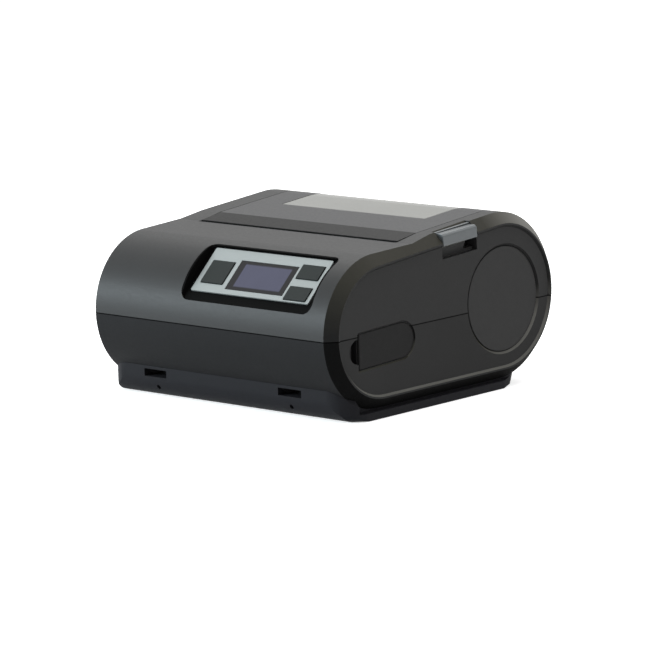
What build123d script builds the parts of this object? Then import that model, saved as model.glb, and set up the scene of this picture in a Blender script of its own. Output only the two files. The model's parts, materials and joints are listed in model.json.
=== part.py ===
from build123d import *
from math import acos, asin, atan2, cos, degrees, hypot, pi, radians, sin, tan
import os

# Portable receipt printer. Millimetres: +X to the printer's right, -Y is its front, +Z up.

# Case: a hull round a front and a rear cylinder, both lying along X
halfWidth = 56.0
frontY, frontZ, frontR = -32.3, 28.7, 25.7
rearY, rearZ, rearR = 29.5, 31.5, 28.5
bevel = 3.55
wall = 2.2
lipInset, lipDepth = 4.15, 0.7
partingZ = 28.5
span = hypot(rearY - frontY, rearZ - frontZ)
slope = atan2(rearZ - frontZ, rearY - frontY) + asin((rearR - frontR) / span)

# Lid
lidLeft, lidRight, lidGap = -43.4, 46.6, 0.3
midX = 2.0
lidFrontY, lidTopY = -14.2, -4.6
hingeY, hingeZ, hingeR = 55.6, 30.2, 2.3
windowX, windowY, windowZ = (-30.6, 35.2), 13.0, 43.0
deckZ = 55.2

# Display panel, tilted to the front
panelAngle = 133.0
pocketX, pocketT = (-13.5, 45.6), (-12.4, 11.2)
floorD = 22.3
plateX, plateT, plateThick = (-10.75, 42.3), (-8.4, 9.8), 0.55
glassX, glassT = (3.7, 29.6), (-6.4, 5.8)
keyPlaces = {
    "key_left": ((-8.4, 1.5), (-4.8, 4.5)),
    "key_right_upper": ((30.9, 40.6), (1.2, 6.9)),
    "key_right_lower": ((30.9, 40.6), (-7.6, -2.2)),
}

# Print mechanism
platenY, platenZ, platenR = -9.2, 47.8, 5.5
gearX = (-43.1, -40.8)
module = 0.6
platenTeeth, idlerTeeth, pinionTeeth = 18, 30, 12
plateL, plateR = (-40.5, -39.5), (44.3, 45.3)
idlerY, idlerZ = platenY, platenZ - module * (platenTeeth + idlerTeeth) / 2 - 0.05
pinionReach = module * (idlerTeeth + pinionTeeth) / 2 + 0.05
pinionY, pinionZ = idlerY - pinionReach * sin(pi / 4), idlerZ - pinionReach * cos(pi / 4)

# Latch lever on the right shoulder, its top level
leverY, leverZ, leverHalf = 6.9, 57.4, 8.7
leverTilt = radians(3.5)
leverPivotX, leverPivotN = 52.6, -1.3

parts = {}


def block(x0, x1, y0, y1, z0, z1):
    return Pos((x0 + x1) / 2, (y0 + y1) / 2, (z0 + z1) / 2) * Box(x1 - x0, y1 - y0, z1 - z0)


def rodX(r, x0, x1, y, z):
    return Pos((x0 + x1) / 2, y, z) * Rot(0, 90, 0) * Cylinder(r, x1 - x0)


def rodZ(r, x, y, z0, z1):
    return Pos(x, y, (z0 + z1) / 2) * Cylinder(r, z1 - z0)


def solidX(points, x0, x1):
    """Outline in Y and Z, pulled from x0 to x1."""
    face = make_face(Polyline(*[(0, y, z) for y, z in points], close=True))
    return Pos(x0, 0, 0) * extrude(face, x1 - x0, dir=(1, 0, 0))


def caseForm(half, inset=0.0, cut=0.0):
    """The case outline reduced by inset, from -half to half, its end edges cut."""
    def at(y, z, r, deg):
        return (y + r * cos(radians(deg)), z + r * sin(radians(deg)))
    top = 90 + degrees(slope)
    f = [at(frontY, frontZ, frontR - inset, a) for a in (top, 180, 270)]
    r = [at(rearY, rearZ, rearR - inset, a) for a in (270, 0, top)]
    lines = [ThreePointArc(*f), Line(f[2], r[0]), ThreePointArc(*r), Line(r[2], f[0])]
    face = Plane.YZ.offset(-half) * make_face(Curve() + lines)
    body = extrude(face, 2 * half)
    if cut:
        ends = [e for e in body.edges() if abs(abs(e.center().X) - half) < 1e-3]
        body = chamfer(ends, cut)
    return body


def ring(half, outer, inner):
    return caseForm(half, outer) - caseForm(half + 1, inner)


def topZ(y):
    return frontZ + frontR * cos(slope) + (y - frontY + frontR * sin(slope)) * tan(slope)


panel = Plane(origin=(0, frontY, frontZ), x_dir=(1, 0, 0),
              z_dir=(0, cos(radians(panelAngle)), sin(radians(panelAngle))))


def panelBlock(x, t, d, radius=0.0):
    body = Pos(sum(x) / 2, sum(t) / 2, sum(d) / 2) * Box(x[1] - x[0], t[1] - t[0], d[1] - d[0])
    if radius:
        body = fillet(body.edges().filter_by(Axis.Z), radius)
    return panel * body


def grow(pair, by):
    return (pair[0] - by, pair[1] + by)


lever = Plane(origin=(0, leverY, leverZ), x_dir=(1, 0, 0), z_dir=(0, -cos(leverTilt), -sin(leverTilt)))


def leverSolid(points, half):
    face = lever * make_face(Polyline(*points, close=True))
    return extrude(face, half, both=True)


def leverRod(r, half):
    return lever * (Pos(leverPivotX, leverPivotN, 0) * Cylinder(r, 2 * half))


def gear(teeth, y, z, x, bore, toothAt):
    """Involute spur gear about an axis along X with one tooth centred at toothAt degrees."""
    pitch = module * teeth / 2
    base, tip, root = pitch * cos(radians(20)), pitch + 0.85 * module, pitch - 1.2 * module

    def half(r):
        r = max(r, base)
        inv = tan(acos(base / r)) - acos(base / r)
        return pi / (2 * teeth) - 0.07 / pitch + tan(radians(20)) - radians(20) - inv
    radii = [root] + [max(base, root) + (tip - max(base, root)) * k / 4 for k in range(5)]
    points = []
    for tooth in range(teeth):
        mid = radians(toothAt) + 2 * pi * tooth / teeth
        flank = [(r, -half(r)) for r in radii] + [(r, half(r)) for r in reversed(radii)]
        points += [(y + r * cos(mid + a), z + r * sin(mid + a)) for r, a in flank]
    return solidX(points, *x) - rodX(bore, x[0] - 1, x[1] + 1, y, z)


def joined(pieces):
    return Compound(children=[p for piece in pieces for p in piece.solids()])


# Case shells
outer = caseForm(halfWidth, 0, bevel)
skin = outer - caseForm(halfWidth - lipDepth - wall, wall, 2.3)
for side in (-1, 1):
    skin -= Pos(side * (halfWidth + 5 - lipDepth), 0, 0) * caseForm(5, lipInset, lipDepth)
    skin -= Pos(side * 54.9, rearY, 30.7) * Rot(0, side * 90, 0) * Cone(18.0, 18.9, 0.9)
    skin -= rodX(18.15, *sorted((side * 53.8, side * 60)), rearY, 30.7)
    skin -= rodX(15.5, *sorted((side * 52, side * 60)), rearY, 30.7)
skin -= (caseForm(halfWidth + 1, -1) - caseForm(halfWidth - 0.35, 0.35, bevel)) & block(
    -60, 60, -60, 60, partingZ - 0.14, partingZ + 0.14)
lidHole = block(lidLeft - lidGap, lidRight + lidGap, lidFrontY - 1.4, 60, partingZ - 0.2, 70)
deckStart = frontY - frontR * sin(slope)
deckCut = solidX([(deckStart, topZ(deckStart)), (lidFrontY - 1.4, deckZ), (lidFrontY - 0.4, deckZ),
                  (lidTopY, topZ(lidTopY)), (lidTopY, 70), (deckStart, 70)], -60, 60)

upper = skin & block(-60, 60, -60, 60, partingZ + 0.01, 70)
rails = ring(50, wall - 0.1, 6.2) & (block(lidRight + 0.3, lidRight + 1.4, -15.6, 60, 33, 70)
                                     + block(lidLeft - 1.4, lidLeft - 0.3, -15.6, 60, 33, 70))
upper = (upper - lidHole) + rails - deckCut
pocket = panelBlock(pocketX, pocketT, (floorD - 1.9, 30), 3.5)
upper -= pocket

leverHouse = leverSolid([(46.9, 3), (54, 3), (54, -10.2), (46.9, -10.2)], leverHalf + 1.7) & outer
leverHouse &= caseForm(53.4, 0.6)
leverPocket = leverSolid([(47.3, 4), (60, 4), (60, -8.6), (53.1, -8.6), (53.1, -8.1), (54.4, -4.9),
                          (53.5, -3.3), (52.9, -2.9), (51.2, -2.9), (51.2, 0.1)], leverHalf + 0.2)
leverWell = Pos(0, 6.4, 0) * leverSolid([(50, -2.9), (60, -2.9), (60, -7.2), (50, -7.2)], 2.5)
upper = upper + (leverHouse - lidHole) - leverPocket - leverWell - leverRod(0.8, leverHalf + 1.2)

bossPlaces = [(x, y) for x in (-49.8, 49.8) for y in (-15.0, 33.0)]
for x, y in bossPlaces:
    top = 50.0 if y < 0 else 52.0
    post = rodZ(3.0, x, y, partingZ + 0.01, top)
    post += block(*sorted((x, x / abs(x) * 53.4)), y - 0.8, y + 0.8, partingZ + 4, top + 3)
    upper += post & caseForm(53.4, wall - 0.1, 2.2)
    upper -= rodZ(1.3, x, y, partingZ - 1, partingZ + 12)

lower = skin & block(-60, 60, -60, 60, 0, partingZ - 0.01)
for x, y in bossPlaces:
    lower += rodZ(3.0, x, y, 4.0, partingZ - 0.3) & caseForm(53.4, wall - 0.1, 2.2)
capY, capZ = (-44.3, -16.8), (17.4, 29.3)
notchHouse = block(50.2, 53.4, -51.5, -43.0, 16.5, partingZ - 0.01) & caseForm(54, wall - 0.1, 2.3)
lower += notchHouse
lower += rodZ(2.6, 48.2, -4.0, 4.0, 21.9) + rodZ(2.6, -46.6, -4.0, 4.0, 13.9)
lower -= rodZ(1.05, 48.2, -4.0, 8, 25) + rodZ(1.05, -46.6, -4.0, 6, 20)
boardPosts = [(-22, -46), (-22, -2), (38, -46), (38, -2)]
batteryX, batteryY = (-26.6, 41.5), (-42.0, -4.0)
lower -= block(*grow(batteryX, 0.5), -40.0, -5.0, 0, 6.1)
lower -= block(lidLeft - 0.3, lidRight + 0.3, 50, 60, 27.4, 30)
knuckleX = [(38.3, lidRight - 0.2), (lidLeft + 0.2, -35.1)]
lower -= rodX(2.65, lidLeft - 0.3, lidRight + 0.3, hingeY, hingeZ)
for x in knuckleX:
    lower += rodX(hingeR, *x, hingeY, hingeZ) + block(*x, 54.6, 56.6, 24.5, hingeZ)
lower -= rodX(1.25, lidLeft, lidRight, hingeY, hingeZ)

# Port recess, its sockets and the finger notch, cut through both shells
capHeight = capZ[1] - capZ[0]
capTilt = 2.6


def capForm(x0, x1, grown=0.0):
    r = capHeight / 2 + grown
    mid = sum(capZ) / 2
    flat = block(x0, x1, capY[0] - grown, capY[1] - capHeight / 2, mid - r, mid + r)
    body = flat + rodX(r, x0, x1, capY[1] - capHeight / 2, mid)
    return Pos(0, capY[0], mid) * Rot(capTilt, 0, 0) * Pos(0, -capY[0], -mid) * body


recess = capForm(53.9, 60, 0.15)
rimCut = capForm(54.9, 60, 0.65)
rimCut = chamfer([e for e in rimCut.edges() if abs(e.center().X - 54.9) < 0.01], 0.4)
recess += rimCut & block(50, 60, capY[0] - 0.15, 0, 0, 40)
notch = Pos(54.6, -44.0, 23.7) * Rot(0, 90, 0) * extrude(Ellipse(4.3, 4.7).face(), 3.0, both=True)
usbCut = block(50, 60, -38.2, -29.8, 20.8, 25.2)
jackCut = rodX(3.3, 50, 60, -24.3, 23.0)
portCuts = [recess, notch & block(51.6, 60, -50, -43.8, 10, 40), usbCut, jackCut]
for cut in portCuts:
    upper -= cut
    lower -= cut
parts["upper_shell"] = upper

# Base cover: the plinth under the case
plinthHalf, plinthY, plinthR, plinthZ = 55.9, -50.9, 7.0, 0.1
cornerR = 10.0
bend = [(plinthY, plinthZ + plinthR),
        (plinthY + plinthR * (1 - cos(pi / 4)), plinthZ + plinthR * (1 - sin(pi / 4))),
        (plinthY + plinthR, plinthZ)]
outline = Curve() + [Line((plinthY, 11.0), bend[0]), ThreePointArc(*bend), Line(bend[2], (35.6, plinthZ)),
                     Polyline((35.6, plinthZ), (44.9, 8.4), (44.0, 11.0), (plinthY, 11.0))]
plinth = extrude(Plane.YZ * make_face(outline), plinthHalf, both=True)
plan = RectangleRounded(2 * plinthHalf, 100, cornerR)
plinth &= Pos(0, plinthY + 50, 0) * extrude(plan, 14)
reach = (plinthHalf - cornerR - plinthY - cornerR) * cos(pi / 4) + cornerR
facets = Pos(0, 0, plinthZ + 8) * Box(2 * reach, 2 * reach, 16)
plinth &= Rot(0, 0, 45) * fillet(facets.faces().sort_by(Axis.Z)[0].edges(), 3.5)
front = [(-46.5, 11.6), (46.5, 11.6), (52.0, 9.0), (56.4, 3.8), (56.4, 0),
         (-56.4, 0), (-56.4, 3.8), (-52.0, 9.0)]
limit = extrude(Plane.XZ * make_face(Polyline(*front, close=True)), 70, both=True)
plinth = (plinth & limit) - caseForm(halfWidth, -0.08, bevel)
for side in (-1, 1):
    plinth -= block(*sorted((side * 52.2, side * 60)), -44.5, 60, 2.7, 12)
    tail = make_face(Polyline((side * 57, 26), (side * 49, 42), (side * 57, 42), close=True))
    plinth -= extrude(tail, 12)
slots = [block(x - 5.2, x + 5.2, -60, -43.5, 7.2, 9.8) for x in (-31.9, 30.1)]
dimples = [Pos(x, -48.6, 3.7) * Rot(90, 0, 0) * Cylinder(0.8, 5) for x in (-31.3, 30.1)]
for cut in slots:
    plinth -= cut
    lower -= cut
for cut in dimples:
    plinth -= cut
footPlaces = [(x, y) for x in (-47.6, 47.6) for y in (-36, 20)]
for x, y in footPlaces:
    plinth -= rodZ(4.8, x, y, 0, 1.5)
doorX, doorY = (-28.0, 41.7), (-41.5, -3.5)
plinth -= block(*grow(doorX, 0.25), *grow(doorY, 0.25), 0, 4)
for x, y in bossPlaces:
    hole = rodZ(1.45, x, y, 0, 30) + rodZ(2.7, x, y, 0, 1.9)
    plinth -= hole
    lower -= rodZ(1.45, x, y, 0, 30)
doorScrews = [(-25.4, -22.5), (39.2, -22.5)]
parts["base_cover"] = plinth

door = block(*doorX, *doorY, 0.7, 2.7)
for x, y in doorScrews:
    door -= rodZ(1.1, x, y, 0, 4) + rodZ(2.2, x, y, 0, 1.6)
    lower -= rodZ(0.95, x, y, 0, 6)
parts["battery_door"] = door
for x, y in boardPosts:
    lower += rodZ(2.2, x, y, 4.0, 25.9) & caseForm(53, wall - 0.1)
    lower -= rodZ(0.9, x, y, 18, 27)
parts["lower_shell"] = lower - block(*grow(batteryX, 0.4), *grow(batteryY, 0.4), 5.3, 24.8)

parts["rubber_feet"] = joined([rodZ(4.6, x, y, 0, 1.5) for x, y in footPlaces])
parts["case_screws"] = joined([
    rodZ(2.5, x, y, 0.9, 1.9) + rodZ(1.25, x, y, 1.9, 38) for x, y in bossPlaces])
parts["door_screws"] = joined([
    rodZ(2.0, x, y, 0.8, 1.6) + rodZ(0.9, x, y, 1.6, 5) for x, y in doorScrews])

# Round side covers over the roll cheeks
for name, side in (("side_cover_right", 1), ("side_cover_left", -1)):
    cover = rodX(17.9, *sorted((side * 53.85, side * 54.85)), rearY, 30.7)
    parts[name] = cover + rodX(15.3, *sorted((side * 53.45, side * 54.5)), rearY, 30.7)

# Lid
lidBox = block(lidLeft, lidRight, lidFrontY, 60, hingeZ - 0.4, 70)
lidSkin = (caseForm(halfWidth, 0) - caseForm(halfWidth + 1, wall)) & lidBox
lidSkirt = ((caseForm(50, wall - 0.1) - caseForm(51, 5.6)) & lidBox) - block(
    lidLeft + 1.3, lidRight - 1.3, -60, 60, 0, 70) - block(-60, 60, -60, -2.5, 0, 70)
noseZ = deckZ + 0.3
nose = solidX([(-20, noseZ), (lidFrontY, noseZ), (lidTopY, topZ(lidTopY)),
               (lidTopY, 70), (-20, 70)], -50, 50)
lid = lidSkin + lidSkirt
lid -= nose
lid += solidX([(lidFrontY, noseZ), (lidTopY, topZ(lidTopY) - 0.3), (lidTopY, topZ(lidTopY) - 2.0),
               (lidFrontY, noseZ - 1.4)], lidLeft, lidRight)
for x in knuckleX:
    lid -= block(x[0] - 0.3, x[1] + 0.3, 50, 60, 20, 33.2)
lid += rodX(hingeR, knuckleX[1][1] + 0.3, knuckleX[0][0] - 0.3, hingeY, hingeZ)
lid -= rodX(1.25, -60, 60, hingeY, hingeZ)
windowPlace = block(*windowX, windowY, 60, windowZ, 70)
windowRebate = block(*grow(windowX, 0.1), windowY - 0.1, 60, windowZ - 0.1, 70)
windowHole = block(*grow(windowX, -1.5), windowY + 1.5, 60, windowZ + 1.5, 70)
lid -= (caseForm(halfWidth, -1) - caseForm(halfWidth + 1, 1.3)) & windowRebate
lid -= windowHole
parts["paper_cover"] = lid
parts["cover_window"] = (caseForm(halfWidth, 0.05) - caseForm(halfWidth + 1, 1.25)) & windowPlace

frame = ring(50, wall + 0.1, 3.6) & block(lidLeft + 2.2, lidRight - 2.4, -3.0, 60, 42, 70)
frame -= windowHole
earOutline = [(-12.6, 44.0), (-5.8, 44.0), (2.0, topZ(2) - 3.0), (-9.6, topZ(-9.6) - 3.6), (-12.6, 50.0)]
ears = [solidX(earOutline, *x)
        for x in ((midX + 41.0, midX + 42.2), (midX - 42.2, midX - 41.0))]
frame = frame + ears[0] + ears[1] - rodX(3.3, -50, 50, platenY, platenZ)
frame -= nose
parts["cover_frame"] = frame
screwSpots = [(-36.5, 4.0), (40.5, 4.0)]
lidScrews = []
for x, y in screwSpots:
    z = topZ(y)
    tilt = Pos(x, y, z) * Rot(degrees(slope), 0, 0)
    lidScrews.append(tilt * (Pos(0, 0, -4.2) * Cylinder(1.8, 1.0) + Pos(0, 0, -2.5) * Cylinder(0.9, 2.6)))
    for name in ("paper_cover", "cover_frame"):
        parts[name] -= tilt * (Pos(0, 0, -3.0) * Cylinder(0.95, 3.7))
parts["cover_screws"] = joined(lidScrews)
parts["platen_bushes"] = joined([
    rodX(3.25, *x, platenY, platenZ) - rodX(2.05, -50, 50, platenY, platenZ)
    for x in ((midX + 40.8, midX + 42.4), (midX - 42.4, midX - 40.8))])
catchZ = topZ(2) - 10.5
catch = block(44.4, 45.2, 2, 10, catchZ, catchZ + 8.2)
parts["lid_catch"] = catch + block(45.0, 46.4, 2, 10, catchZ, catchZ + 1.5)

# Platen roller and its gears, meshed
rollerX = (midX - 40.4, midX + 40.4)
parts["platen_shaft"] = rodX(2.0, gearX[0], midX + 42.6, platenY, platenZ)
parts["platen_rubber"] = rodX(platenR, *rollerX, platenY, platenZ) - rodX(2.0, -50, 50, platenY, platenZ)
parts["platen_gear"] = gear(platenTeeth, platenY, platenZ, gearX, 2.0, 270)
parts["feed_gear"] = gear(idlerTeeth, idlerY, idlerZ, gearX, 1.55, 90 + 180 / idlerTeeth)
idlerTooth = 90 + 180 / idlerTeeth
steps = round((225 - idlerTooth) / (360 / idlerTeeth))
offset = 225 - (idlerTooth + steps * 360 / idlerTeeth)
pinionTooth = 45 + 180 / pinionTeeth + offset * idlerTeeth / pinionTeeth
pinion = gear(pinionTeeth, pinionY, pinionZ, gearX, 0.75, pinionTooth)
parts["motor_pinion"] = pinion + rodX(0.8, gearX[0], plateL[1] + 1.8, pinionY, pinionZ)

# Print mechanism on its bent steel frame
mech = block(plateL[0], plateR[1], -29.0, -27.8, 28.0, 46.0)
mech += block(*plateL, -29.0, 2.0, 14.0, 38.0) + block(*plateR, -29.0, 2.0, 22.0, 38.0)
mech += block(-50.0, plateL[0], -8.0, 0.0, 14.0, 15.0) + block(plateR[1], 51.0, -8.0, 0.0, 22.0, 23.0)
mech += rodX(1.5, gearX[0] - 0.3, plateL[0], idlerY, idlerZ)
rodPlace = (-17.4, 36.4)
tabScrews = [(48.2, 23.0), (-46.6, 15.0)]
for x, z in tabScrews:
    mech -= rodZ(1.25, x, -4.0, z - 3, z + 2)
mech -= rodX(1.5, plateL[0] - 1, plateL[1] + 1, pinionY, pinionZ) + rodX(1.52, -50, 50, *rodPlace)
motorEars = [(pinionY - 7.2, pinionZ + 7.2), (pinionY + 7.2, pinionZ - 7.2)]
for y, z in motorEars:
    mech -= rodX(0.95, plateL[0] - 1, plateL[1] + 1, y, z)
mech -= block(plateL[0] - 1, plateL[1] + 1, -29.5, -26, 13, 26) + block(43.5, 46, -30, -9, 20, 28)
parts["mech_frame"] = mech
parts["mech_screws"] = joined([
    rodZ(2.0, x, -4.0, z, z + 1.2) + rodZ(1.0, x, -4.0, z - 6.0, z) for x, z in tabScrews])
parts["head_rod"] = rodX(1.5, plateL[0] + 0.2, plateR[1] - 0.2, *rodPlace)
sink = block(midX - 41.2, midX + 41.2, -19.2, -15.65, 34.3, 50.4)
parts["head_heatsink"] = sink - rodX(1.5, -50, 50, *rodPlace)
parts["print_head"] = block(midX - 41.0, midX + 41.0, -15.6, -14.85, 41.0, 50.6)
spring = Rot(90, 0, 0) * (Cylinder(2.4, 8.4) - Cylinder(1.6, 9))
parts["head_springs"] = joined([Pos(midX + x, -23.5, 43.5) * spring for x in (-24, 24)])
ribbonPath = [(-18.9, 34.2), (-18.7, 34.2), (-18.7, 28.4), (-23.0, 27.6), (-23.0, 27.8), (-18.9, 28.6)]
parts["head_ribbon"] = solidX(ribbonPath, -14, 14)
motor = rodX(9.6, plateL[1] + 0.05, -27.2, pinionY, pinionZ)
motor -= rodX(0.9, -43, plateL[1] + 2, pinionY, pinionZ)
for y, z in motorEars:
    motor += rodX(2.2, plateL[1] + 0.05, plateL[1] + 1.0, y, z)
    motor -= rodX(0.95, plateL[1], plateL[1] + 1.4, y, z)
parts["feed_motor"] = motor
parts["motor_screws"] = joined([
    rodX(1.8, plateL[0] - 0.95, plateL[0] - 0.05, y, z) + rodX(0.9, plateL[0] - 0.05, plateL[1] + 1.3, y, z)
    for y, z in motorEars])

# Roll bay: trough and end cheeks under the lid
bayX = (midX - 41.8, midX + 41.8)
trough = rodX(26.1, *grow(bayX, 1.2), rearY, rearZ) - rodX(25.0, *bayX, rearY, rearZ)
trough &= block(*grow(bayX, 2), 3.5, 60, 0, 41.5)
trough -= block(*bayX, 3, 60, 40, 70) + block(*grow(bayX, 2), 52.4, 60, 24, 50)
parts["roll_trough"] = trough & caseForm(halfWidth, wall + 0.1)
parts["paper_sensor"] = block(-4, 4, 0.9, 3.2, 34.0, 40.0)
parts["hinge_pin"] = rodX(1.2, lidLeft + 0.3, lidRight - 0.3, hingeY, hingeZ)
teeth = [(midX - 41 + k, lidFrontY - 1.6 - (0.5 if k % 2 else 0.0)) for k in range(83)]
tear = make_face(Polyline(*teeth, (midX + 41, -21.0), (midX - 41, -21.0), close=True))
parts["tear_bar"] = Pos(0, 0, topZ(-21) - wall - 1.0) * extrude(tear, 0.6)

# Electronics
board = block(-26, 41.9, -50, 2.0, 26.0, 27.5)
for x, y in boardPosts:
    board -= rodZ(1.1, x, y, 25, 29)
board = board - block(-50, -22.5, -30, 3, 25, 29)
parts["main_board"] = board
parts["board_screws"] = joined([
    rodZ(1.9, x, y, 27.5, 28.4) + rodZ(0.85, x, y, 21, 27.5) for x, y in boardPosts[:1] + boardPosts[2:]])
parts["radio_module"] = block(22, 36, -24.5, -12, 27.55, 29.6)
usb = block(42.0, 53.8, -38.0, -30.0, 21.0, 25.0) - block(46, 55, -37.3, -30.7, 21.6, 24.4)
parts["usb_socket"] = usb + block(45.5, 53.4, -36.2, -31.8, 22.6, 23.3) + block(42, 46, -36, -32, 24, 25.9)
jack = rodX(3.1, 44.0, 53.8, -24.3, 23.0) + block(43.6, 51.0, -28.0, -20.6, 19.6, 25.9)
jack = jack - rodX(2.3, 46.0, 55, -24.3, 23.0) + rodX(0.8, 44.0, 53.0, -24.3, 23.0)
parts["charge_jack"] = jack
cellY = (-32.4, -13.6)
battery = block(-26.2, 41.0, -41.6, -4.4, 6.4, 7.6) + block(39, 41, -38, -8, 7, 22)
for y in cellY:
    battery += rodX(9.0, -25.6, 39.4, y, 15.3)
parts["battery_pack"] = battery
parts["battery_contacts"] = joined([block(-26.9, -26.3, y - 3, y + 3, 12, 22) for y in cellY])

# Display panel
tray = panelBlock(grow(pocketX, -0.1), grow(pocketT, -0.1), (floorD - 1.8, 28), 3.4)
tray -= panelBlock(grow(pocketX, -0.7), (pocketT[0] - 5, pocketT[1] - 0.7), (floorD, 30))
tray -= panelBlock(grow(glassX, -1.2), grow(glassT, -1.2), (15, 30))
for x, t in keyPlaces.values():
    tray -= panelBlock(grow(x, 0.3), grow(t, 0.3), (15, 30))
parts["display_bezel"] = tray & caseForm(halfWidth, 0.03)
plate = panelBlock(plateX, plateT, (floorD, floorD + plateThick), 0.6)
plate -= panelBlock(grow(glassX, 0.1), grow(glassT, 0.1), (15, 30))
for x, t in keyPlaces.values():
    plate -= panelBlock(grow(x, 0.25), grow(t, 0.25), (15, 30), 0.4)
parts["panel_frame"] = plate
parts["display_glass"] = panelBlock(glassX, glassT, (floorD, floorD + plateThick - 0.1))
parts["display_module"] = panelBlock((2.6, 30.0), (-8.4, 8.4), (17.2, floorD - 1.85)) + panelBlock(
    (6.0, 27.5), (-5.0, 4.4), (19, floorD - 0.3))
parts["key_board"] = panelBlock((-12.5, 44.0), (-9.5, 9.0), (15.6, 16.8))
switches = []
for name, (x, t) in keyPlaces.items():
    mid = (sum(x) / 2, sum(t) / 2)
    cap = panelBlock(x, t, (20.0, floorD + plateThick + 0.35), 0.35)
    cap += panelBlock(grow(x, 0.7), grow(t, 0.45), (19.5, 20.4))
    parts[name] = cap + panelBlock((mid[0] - 1, mid[0] + 1), (mid[1] - 1, mid[1] + 1), (18.6, 19.6))
    switches.append(panelBlock((mid[0] - 2.2, mid[0] + 2.2), (mid[1] - 2.2, mid[1] + 2.2), (16.8, 18.1)))
parts["key_switches"] = joined(switches)

# Latch lever and its pin
section = [(leverPivotX, 0), (55.2, 0), (56.0, -0.8), (56.0, -4.2), (54.9, -4.2), (54.6, -1.8),
           (53.4, -1.7), (52.6, -2.6)]
latch = leverSolid(section, leverHalf) + leverRod(1.3, leverHalf) - leverRod(0.8, leverHalf + 1)
parts["latch_lever"] = latch
parts["latch_pin"] = leverRod(0.75, leverHalf + 1.1)

# Port cap
parts["port_cap"] = capForm(53.95, 55.05) - block(53, 60, -46, -43.7, 10, 40)

os.makedirs("parts", exist_ok=True)
for name, part in parts.items():
    export_step(part, os.path.join("parts", name + ".step"))
    print(name, len(part.solids()), round(part.volume))
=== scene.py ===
# Portable receipt printer: finishes, broken edges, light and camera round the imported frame
import json
from math import cos, radians, sin

import bpy
from mathutils import Matrix, Vector


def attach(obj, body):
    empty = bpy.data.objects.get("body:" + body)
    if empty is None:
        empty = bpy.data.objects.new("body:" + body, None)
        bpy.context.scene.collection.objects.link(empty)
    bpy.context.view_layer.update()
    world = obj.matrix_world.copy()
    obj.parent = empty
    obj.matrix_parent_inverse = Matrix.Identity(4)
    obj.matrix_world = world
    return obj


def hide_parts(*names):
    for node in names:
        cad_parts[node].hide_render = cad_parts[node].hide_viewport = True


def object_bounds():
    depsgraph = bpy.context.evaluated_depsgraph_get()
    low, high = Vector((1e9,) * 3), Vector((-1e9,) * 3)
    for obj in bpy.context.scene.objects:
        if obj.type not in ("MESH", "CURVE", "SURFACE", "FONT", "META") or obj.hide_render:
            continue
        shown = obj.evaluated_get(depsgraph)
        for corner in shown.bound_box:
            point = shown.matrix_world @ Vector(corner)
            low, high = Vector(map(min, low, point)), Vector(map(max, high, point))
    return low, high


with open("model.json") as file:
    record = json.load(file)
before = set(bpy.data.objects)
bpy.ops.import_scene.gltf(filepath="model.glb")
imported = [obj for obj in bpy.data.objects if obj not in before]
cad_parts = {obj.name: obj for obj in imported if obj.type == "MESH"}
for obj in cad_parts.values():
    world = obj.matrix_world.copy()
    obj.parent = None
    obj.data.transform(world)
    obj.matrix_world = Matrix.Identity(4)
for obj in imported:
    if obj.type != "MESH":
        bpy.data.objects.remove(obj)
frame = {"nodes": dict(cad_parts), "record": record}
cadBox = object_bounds()
mm = 0.001
print("frame loaded:", len(frame["nodes"]), "nodes")


# Shader helpers

class Sock:
    # wraps a socket so that maths on it adds Math nodes
    def __init__(self, tree, socket):
        self.tree, self.socket = tree, socket

    def op(self, kind, a, b=None, clamp=False):
        node = self.tree.nodes.new("ShaderNodeMath")
        node.operation, node.use_clamp = kind, clamp
        for place, value in enumerate((a, b)):
            if isinstance(value, Sock):
                self.tree.links.new(value.socket, node.inputs[place])
            elif value is not None:
                node.inputs[place].default_value = value
        return Sock(self.tree, node.outputs[0])

    def __add__(self, other): return self.op("ADD", self, other)
    def __radd__(self, other): return self.op("ADD", other, self)
    def __sub__(self, other): return self.op("SUBTRACT", self, other)
    def __rsub__(self, other): return self.op("SUBTRACT", other, self)
    def __mul__(self, other): return self.op("MULTIPLY", self, other)
    def __rmul__(self, other): return self.op("MULTIPLY", other, self)
    def __truediv__(self, other): return self.op("DIVIDE", self, other)
    def __abs__(self): return self.op("ABSOLUTE", self)

    def clamp(self): return self.op("ADD", self, 0.0, True)

    def step(self, at, soft): return ((self - (at - soft / 2)) / soft).clamp()

    def stepMm(self, at, soft): return self.step(at * mm, soft * mm)


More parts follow.
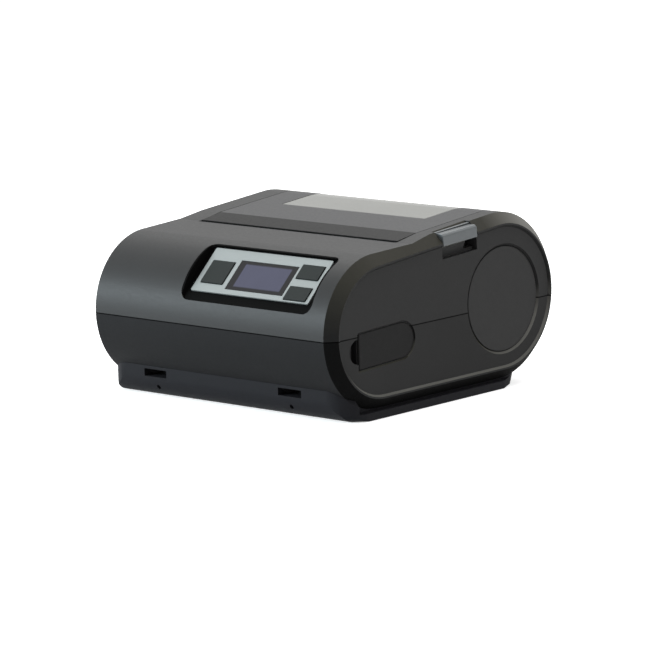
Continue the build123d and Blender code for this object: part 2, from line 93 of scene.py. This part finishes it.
class Finish:
    # one material: its node tree, its Principled shader and one way to add any other node
    def __init__(self, name, color, rough, metal=0.0, **extra):
        self.mat = bpy.data.materials.new(name)
        self.mat.use_nodes = True
        self.tree = self.mat.node_tree
        self.shader = self.tree.nodes["Principled BSDF"]
        self.set(self.shader, "Base Color", color)
        self.set(self.shader, "Roughness", rough)
        self.set(self.shader, "Metallic", metal)
        for key, value in extra.items():
            self.set(self.shader, key.replace("_", " "), value)

    def set(self, node, socket, value):
        place = node.inputs[socket]
        if isinstance(value, Sock):
            self.tree.links.new(value.socket, place)
        elif isinstance(value, (tuple, list)) and len(value) == 3 and len(place.default_value) == 4:
            place.default_value = (*value, 1.0)
        else:
            place.default_value = value

    def add(self, kind, settings=None, **sockets):
        node = self.tree.nodes.new(kind)
        for key, value in (settings or {}).items():
            setattr(node, key, value)
        for key, value in sockets.items():
            self.set(node, key.replace("_", " "), value)
        return node

    def out(self, node, place=0):
        return Sock(self.tree, node.outputs[place])

    def place(self):
        return self.out(self.add("ShaderNodeTexCoord"), "Object")

    def split(self, vector):
        node = self.add("ShaderNodeSeparateXYZ")
        self.set(node, 0, vector)
        return [self.out(node, k) for k in range(3)]

    def noise(self, scale, detail=3.0):
        return self.out(self.add("ShaderNodeTexNoise", Vector=self.place(), Scale=scale, Detail=detail))

    def mix(self, factor, a, b):
        # of the Mix node's sockets, 6, 7 and output 2 are the colour ones
        node = self.add("ShaderNodeMix", {"data_type": "RGBA"})
        for place, value in ((0, factor), (6, a), (7, b)):
            self.set(node, place, value)
        return self.out(node, 2)

    def bump(self, height, strength, distance=0.0001):
        node = self.add("ShaderNodeBump", Strength=strength, Distance=distance, Height=height)
        self.set(self.shader, "Normal", self.out(node))


def tint(hexValue):
    # sRGB hex to linear
    parts = [int(hexValue[k:k + 2], 16) / 255 for k in (0, 2, 4)]
    return tuple(p / 12.92 if p <= 0.04045 else ((p + 0.055) / 1.055) ** 2.4 for p in parts)


# Finishes: a pair is where a change sits and how soft it is, in mm or as a part of the surface normal

black = (0.0, 0.0, 0.0)
grainDetail = 2.0
moulded = {"grainScale": 5200.0, "grain": 0.1, "blotchScale": 900.0}
# the band, rim and edge colours below are painted light and shade, and the parting darkening is painted
# shade
caseLook = {
    "bandLowShaded": "0c0c0c", "bandTopLit": "33322c", "bandRearLit": "74736f", "rimHighlight": "6a6a66", "edge": "8a8a84",
    "bandAcross": (0.42, 0.2), "sideAcross": (0.9, 0.06), "topUp": (0.3, 0.5),
    "rearY": (31.0, 20.0), "rearUp": (0.1, 0.4), "rimZ": (14.0, 8.0), "rimUp": (0.3, 0.2),
    "edgeFrom": (0.8, 0.06), "edgeTo": (0.95, 0.04), "edgeUp": (0.1, 0.2), "edgeHighlightAmount": 0.7,
    "partingZ": 28.5, "partingWidth": 0.42, "partingSoft": 0.1, "partingShade": 0.9,
    "matt": 0.25, "blotch": 0.12, "cloudScale": 60.0, "cloud": 0.12,
}


def mouldedSkin(look, rough, blotch):
    # uneven gloss and the fine grain of a moulded surface
    look.set(look.shader, "Roughness", rough + (look.noise(moulded["blotchScale"]) - 0.5) * blotch)
    look.bump(look.noise(moulded["grainScale"], grainDetail), moulded["grain"])


def casePlastic(name, wrap, side, rough, specular):
    # wrap round the case, corner band and flat side, told apart by the surface direction; the band's
    # shading, its rim and edge highlights and the parting line's shade are painted into the colour
    c = caseLook
    look = Finish(name, tint(wrap), rough, Specular_IOR_Level=specular)
    nx, _, nz = look.split(look.out(look.add("ShaderNodeTexCoord"), "Normal"))
    _, y, z = look.split(look.place())
    across = abs(nx)
    onBand = across.step(*c["bandAcross"])
    onSide = across.step(*c["sideAcross"])
    # painted shading: the corner band is near black where it faces down and forward, olive grey where it
    # faces up
    band = look.mix(nz.step(*c["topUp"]), tint(c["bandLowShaded"]), tint(c["bandTopLit"]))
    # painted light: the band turns pale on the rear, where it faces up
    rearLit = y.stepMm(*c["rearY"]) * nz.step(*c["rearUp"])
    band = look.mix(rearLit, band, tint(c["bandRearLit"]))
    # painted highlight on the lip's inner wall along the bottom of the side, where it faces up
    rimHighlightMask = (1.0 - z.stepMm(*c["rimZ"])) * nz.step(*c["rimUp"])
    band = look.mix(rimHighlightMask, band, tint(c["rimHighlight"]))
    color = look.mix(onSide, look.mix(onBand, tint(wrap), band), tint(side))
    # painted highlight on the rounded edge between the corner band and the side face, where it faces up
    edge = across.step(*c["edgeFrom"]) * (1.0 - across.step(*c["edgeTo"])) * nz.step(*c["edgeUp"])
    color = look.mix(edge * c["edgeHighlightAmount"], color, tint(c["edge"]))
    # painted shade in the parting line between the shells; the cloud noise is uneven tone of the plastic
    seam = 1.0 - abs(z - c["partingZ"] * mm).stepMm(c["partingWidth"] / 2, c["partingSoft"])
    worn = look.noise(c["cloudScale"]) * c["cloud"]
    shade = look.mix(seam * c["partingShade"] + (1.0 - seam) * worn, color, black)
    look.set(look.shader, "Base Color", shade)
    mouldedSkin(look, rough + (seam + onBand) * c["matt"], c["blotch"])
    return look.mat


# the nose colour is painted shade and the edge colour is a painted shadow of the paper slot
lidLook = {
    "top": "363637", "nose": "0c0c0c", "edge": (0.001, 0.001, 0.001), "noseY": (-4.6, 0.3),
    "edgeY": (-14.0, 0.1), "rough": 0.46, "noseRough": 0.62, "edgeMatt": 0.3, "blotch": 0.1,
    "specular": 0.2,
}


def lidPlastic(name):
    # paper cover: the nose strip towards the slot darkened as painted shade, and a black front edge painted
    # as the shadow of the paper slot
    c = lidLook
    look = Finish(name, tint(c["top"]), c["rough"], Specular_IOR_Level=c["specular"])
    y = look.split(look.place())[1]
    # painted shade on the nose strip, standing in for a steeper face
    onNose = 1.0 - y.stepMm(*c["noseY"])
    # painted shadow of the paper slot along the cover's front edge
    onSlotShadow = 1.0 - y.stepMm(*c["edgeY"])
    color = look.mix(onNose, tint(c["top"]), tint(c["nose"]))
    look.set(look.shader, "Base Color", look.mix(onSlotShadow, color, c["edge"]))
    rough = c["rough"] + onNose * (c["noseRough"] - c["rough"]) + onSlotShadow * c["edgeMatt"]
    mouldedSkin(look, rough, c["blotch"])
    return look.mat


screenLook = {
    "lit": "454556", "border": "141416", "x": (6.4, 27.2), "z": (42.0, 48.4), "soft": 0.35,
    "rough": 0.14, "specular": 0.3, "cloudScale": 200.0, "cloud": 0.1,
}


def screenGlass(name):
    # dark glass with the pale field of the display behind it
    c = screenLook
    look = Finish(name, tint(c["border"]), c["rough"], Specular_IOR_Level=c["specular"])
    x, _, z = look.split(look.place())
    field = 1.0
    for axis, (low, high) in ((x, c["x"]), (z, c["z"])):
        field = axis.stepMm(low, c["soft"]) * (1.0 - axis.stepMm(high, c["soft"])) * field
    color = look.mix(field, tint(c["border"]), tint(c["lit"]))
    look.set(look.shader, "Base Color", look.mix(look.noise(c["cloudScale"]) * c["cloud"], color, black))
    return look.mat


plainLook = {"cloudScale": 80.0, "cloud": 0.15, "blotchScale": 700.0, "blotch": 0.1, "grainScale": 4200.0}


def plainPlastic(name, color, rough, grain=0.12, specular=0.25):
    c = plainLook
    look = Finish(name, tint(color), rough, Specular_IOR_Level=specular)
    worn = look.noise(c["cloudScale"]) * c["cloud"]
    look.set(look.shader, "Base Color", look.mix(worn, tint(color), black))
    look.set(look.shader, "Roughness", rough + (look.noise(c["blotchScale"]) - 0.5) * c["blotch"])
    if grain:
        look.bump(look.noise(c["grainScale"], grainDetail), grain)
    return look.mat


metalLook = {"blotchScale": 500.0, "blotch": 0.12}


def metal(name, color, rough, amount=1.0):
    c = metalLook
    look = Finish(name, tint(color), rough, amount)
    look.set(look.shader, "Roughness", rough + (look.noise(c["blotchScale"]) - 0.5) * c["blotch"])
    return look.mat


looks = {
    "shell": casePlastic("shellPlastic", "303030", "363636", 0.47, 0.16),
    "lowerShell": casePlastic("lowerShellPlastic", "212122", "414141", 0.66, 0.08),
    "base": plainPlastic("basePlastic", "212124", 0.62, specular=0.08),
    "lid": lidPlastic("lidPlastic"),
    "window": plainPlastic("windowPlastic", "787873", 0.22, 0.0),
    "disc": plainPlastic("discPlastic", "2f2f2f", 0.56, specular=0.16),
    "rubber": plainPlastic("portRubber", "202020", 0.7, 0.3, specular=0.14),
    "foot": plainPlastic("footRubber", "141414", 0.8, 0.3),
    "silver": metal("silverPaint", "949998", 0.38, 0.3),
    "lever": metal("leverPaint", "585c5e", 0.4, 0.4),
    "key": plainPlastic("keyRubber", "2c2f2e", 0.62, specular=0.1),
    "tray": plainPlastic("trayPlastic", "080808", 0.7, specular=0.03),
    "inner": plainPlastic("innerPlastic", "0a0a0b", 0.6, specular=0.1),
    "glass": screenGlass("panelGlass"),
    "module": plainPlastic("modulePlastic", "5e5e6e", 0.3, 0.0),
    "white": plainPlastic("whiteNylon", "d2d2cc", 0.4, specular=0.5),
    "steel": metal("zincSteel", "a8a8a8", 0.3),
    "alloy": metal("headAlloy", "b9bcbe", 0.42),
    "brass": metal("drawnBrass", "c09a58", 0.3),
    "board": plainPlastic("boardGreen", "1c5a35", 0.35, 0.0, specular=0.5),
    "ceramic": plainPlastic("headCeramic", "5a4a3c", 0.2, 0.0, specular=0.5),
    "film": plainPlastic("ribbonFilm", "a86a28", 0.35, 0.0, specular=0.5),
    "cell": plainPlastic("cellWrap", "23406e", 0.3, 0.0, specular=0.5),
    "roller": plainPlastic("rollerRubber", "1c1c1c", 0.6),
}

nodeLooks = {
    "upper_shell": "shell", "lower_shell": "lowerShell", "base_cover": "base", "battery_door": "base",
    "rubber_feet": "foot", "case_screws": "steel", "door_screws": "steel", "side_cover_right": "disc",
    "side_cover_left": "disc", "mech_frame": "steel", "mech_screws": "steel", "head_rod": "steel",
    "head_heatsink": "alloy", "print_head": "ceramic", "head_springs": "steel", "head_ribbon": "film",
    "feed_motor": "steel", "motor_screws": "steel", "roll_trough": "inner", "paper_sensor": "inner",
    "hinge_pin": "steel", "tear_bar": "steel", "main_board": "board", "board_screws": "steel",
    "radio_module": "alloy", "usb_socket": "steel", "charge_jack": "inner", "battery_pack": "cell",
    "battery_contacts": "brass", "display_bezel": "tray", "panel_frame": "silver", "display_glass": "glass",
    "display_module": "module", "key_board": "board", "key_switches": "inner", "latch_pin": "steel",
    "paper_cover": "lid", "cover_window": "window", "cover_frame": "inner", "cover_screws": "steel",
    "platen_bushes": "white", "lid_catch": "steel", "platen_shaft": "steel", "platen_rubber": "roller",
    "platen_gear": "white", "feed_gear": "white", "motor_pinion": "brass", "latch_lever": "lever",
    "key_left": "key", "key_right_upper": "key", "key_right_lower": "key", "port_cap": "rubber",
}
for nodeName, lookName in nodeLooks.items():
    node = frame["nodes"][nodeName]
    node.data.materials.clear()
    node.data.materials.append(looks[lookName])
print("finishes made:", len(looks))


# Finished copies of the outer nodes: merged, edges broken, smooth

def pick(obj):
    bpy.ops.object.select_all(action="DESELECT")
    bpy.context.view_layer.objects.active = obj
    obj.select_set(True)


def applyModifier(obj, kind, **settings):
    pick(obj)
    mod = obj.modifiers.new(kind.title(), kind)
    for key, value in settings.items():
        setattr(mod, key, value)
    bpy.ops.object.modifier_apply(modifier=mod.name)


bodyOf = {n: b for b, names in frame["record"]["behaviour"]["bodies"].items() for n in names}
edgeBreaks = {  # width of the broken edge, in mm
    "upper_shell": 0.22, "lower_shell": 0.22, "base_cover": 0.3, "battery_door": 0.2, "paper_cover": 0.2,
    "cover_window": 0.25, "side_cover_right": 0.25, "side_cover_left": 0.25, "port_cap": 0.35,
    "panel_frame": 0.1, "key_left": 0.18, "key_right_upper": 0.18, "key_right_lower": 0.18,
    "latch_lever": 0.3, "display_bezel": 0.12, "rubber_feet": 0.2,
}
edgeWork = {  # mm and degrees
    "merge": 0.002, "flat": 0.6, "sharpFrom": 28, "smoothTo": 35, "segments": 2, "faceWeight": 80,
}


def finished(name, width):
    source = frame["nodes"][name]
    piece = bpy.data.objects.new(name + "_finished", source.data.copy())
    bpy.context.scene.collection.objects.link(piece)
    pick(piece)
    bpy.ops.object.mode_set(mode="EDIT")
    bpy.ops.mesh.select_all(action="SELECT")
    bpy.ops.mesh.remove_doubles(threshold=edgeWork["merge"] * mm)
    bpy.ops.mesh.dissolve_limited(angle_limit=radians(edgeWork["flat"]))
    bpy.ops.object.mode_set(mode="OBJECT")
    applyModifier(piece, "BEVEL", width=width * mm, segments=edgeWork["segments"],
                  limit_method="ANGLE", angle_limit=radians(edgeWork["sharpFrom"]),
                  use_clamp_overlap=True, harden_normals=False, miter_outer="MITER_ARC")
    bpy.ops.object.shade_smooth_by_angle(angle=radians(edgeWork["smoothTo"]))
    applyModifier(piece, "WEIGHTED_NORMAL", keep_sharp=True, weight=edgeWork["faceWeight"])
    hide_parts(name)
    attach(piece, bodyOf[name])


for nodeName, width in edgeBreaks.items():
    finished(nodeName, width)
print("outer pieces finished:", len(edgeBreaks))


# Lip of the lever that runs into the shoulder, in mm and degrees

leverLip = {"at": (52.2, 6.9, 57.64), "size": (1.0, 17.2, 0.4), "tilt": 4.4, "edge": 0.15}
bpy.ops.mesh.primitive_cube_add(size=1.0, location=[c * mm for c in leverLip["at"]],
                                rotation=(radians(leverLip["tilt"]), 0, 0))
lip = bpy.context.object
lip.name = "latch_lever_lip"
lip.scale = [c * mm for c in leverLip["size"]]
pick(lip)
bpy.ops.object.transform_apply(location=True, rotation=True, scale=True)
applyModifier(lip, "BEVEL", width=leverLip["edge"] * mm, segments=2, limit_method="ANGLE")
lip.data.materials.append(looks["lever"])
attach(lip, bodyOf["latch_lever"])


# Floor, light and camera

stageLook = {
    "size": 6.0, "gap": 0.02, "paper": 0.9, "rough": 0.95, "bounce": 0.35, "lift": 0.62, "ambient": 0.45,
    "backdrop": 1.0,
}
white = (1.0, 1.0, 1.0)


def shown(tree):
    # 1 for the rays that show the white backdrop
    paths = tree.nodes.new("ShaderNodeLightPath")
    camera, glossy, through = (Sock(tree, paths.outputs["Is " + ray + " Ray"])
                               for ray in ("Camera", "Glossy", "Transmission"))
    return (camera + glossy + through).clamp()


floorZ = cadBox[0][2] - stageLook["gap"] * mm
bpy.ops.mesh.primitive_plane_add(size=stageLook["size"], location=(0, 0, floorZ))
floor = bpy.context.object
floor.name = "floor"
paper = Finish("floorPaper", (stageLook["paper"],) * 3, stageLook["rough"], Emission_Color=white,
               Emission_Strength=stageLook["lift"], Specular_IOR_Level=0.0)
bounce = paper.add("ShaderNodeBsdfDiffuse", Color=(stageLook["bounce"],) * 3)
blend = paper.add("ShaderNodeMixShader")
paper.tree.links.new(shown(paper.tree).socket, blend.inputs[0])
paper.tree.links.new(bounce.outputs[0], blend.inputs[1])
paper.tree.links.new(paper.shader.outputs[0], blend.inputs[2])
paper.tree.links.new(blend.outputs[0], paper.tree.nodes["Material Output"].inputs[0])
floor.data.materials.append(paper.mat)

world = bpy.data.worlds.new("studioRoom")
bpy.context.scene.world = world
world.use_nodes = True
tree = world.node_tree
room = tree.nodes["Background"]
room.inputs[0].default_value = (*white, 1.0)
room.inputs[1].default_value = stageLook["ambient"]
backdrop = tree.nodes.new("ShaderNodeBackground")
backdrop.inputs[0].default_value = (*white, 1.0)
backdrop.inputs[1].default_value = stageLook["backdrop"]
mixRoom = tree.nodes.new("ShaderNodeMixShader")
tree.links.new(shown(tree).socket, mixRoom.inputs[0])
tree.links.new(room.outputs[0], mixRoom.inputs[1])
tree.links.new(backdrop.outputs[0], mixRoom.inputs[2])
tree.links.new(mixRoom.outputs[0], tree.nodes["World Output"].inputs[0])

lamps = {
    "topBox": {
        "at": (-0.15, 0.30, 0.80), "size": (0.9, 0.7), "power": 7.0, "color": (1.0, 0.99, 0.97),
    },
    "leftBox": {
        "at": (-0.55, -0.72, 0.26), "size": (0.8, 0.14), "power": 10.5, "color": (0.82, 0.94, 1.0),
    },
    "rightBox": {
        "at": (0.80, 0.10, 0.45), "size": (0.5, 0.5), "power": 1.5, "color": (1.0, 1.0, 1.0),
    },
}
target = Vector((0, 0, 0.03))  # middle of the case, in m
for name, lamp in lamps.items():
    data = bpy.data.lights.new(name, "AREA")
    data.shape, data.size, data.size_y = "RECTANGLE", *lamp["size"]
    data.energy, data.color = lamp["power"], lamp["color"]
    obj = bpy.data.objects.new(name, data)
    bpy.context.scene.collection.objects.link(obj)
    obj.location = lamp["at"]
    obj.rotation_euler = (target - Vector(lamp["at"])).to_track_quat("-Z", "Y").to_euler()

# the photograph's own view, with its slight roll
shot = {"turn": 42.6, "tilt": 9.95, "roll": -1.65, "at": (0.91355, -0.99340, 0.25743),
        "lens": 221.54, "sensor": 36.0}
turn, tilt, roll = (radians(shot[key]) for key in ("turn", "tilt", "roll"))
right = Vector((cos(turn), sin(turn), 0))
up = Vector((-sin(turn) * sin(tilt), cos(turn) * sin(tilt), cos(tilt)))
ahead = Vector((-sin(turn) * cos(tilt), cos(turn) * cos(tilt), -sin(tilt)))
camX = right * cos(roll) + up * sin(roll)
camY = -right * sin(roll) + up * cos(roll)
camData = bpy.data.cameras.new("camera")
camData.lens, camData.sensor_width = shot["lens"], shot["sensor"]
camera = bpy.data.objects.new("camera", camData)
bpy.context.scene.collection.objects.link(camera)
facing = Matrix((camX, camY, -ahead)).transposed().to_4x4()
camera.matrix_world = Matrix.Translation(shot["at"]) @ facing
bpy.context.scene.camera = camera
bpy.context.scene.view_settings.view_transform = "Standard"
print("stage set")
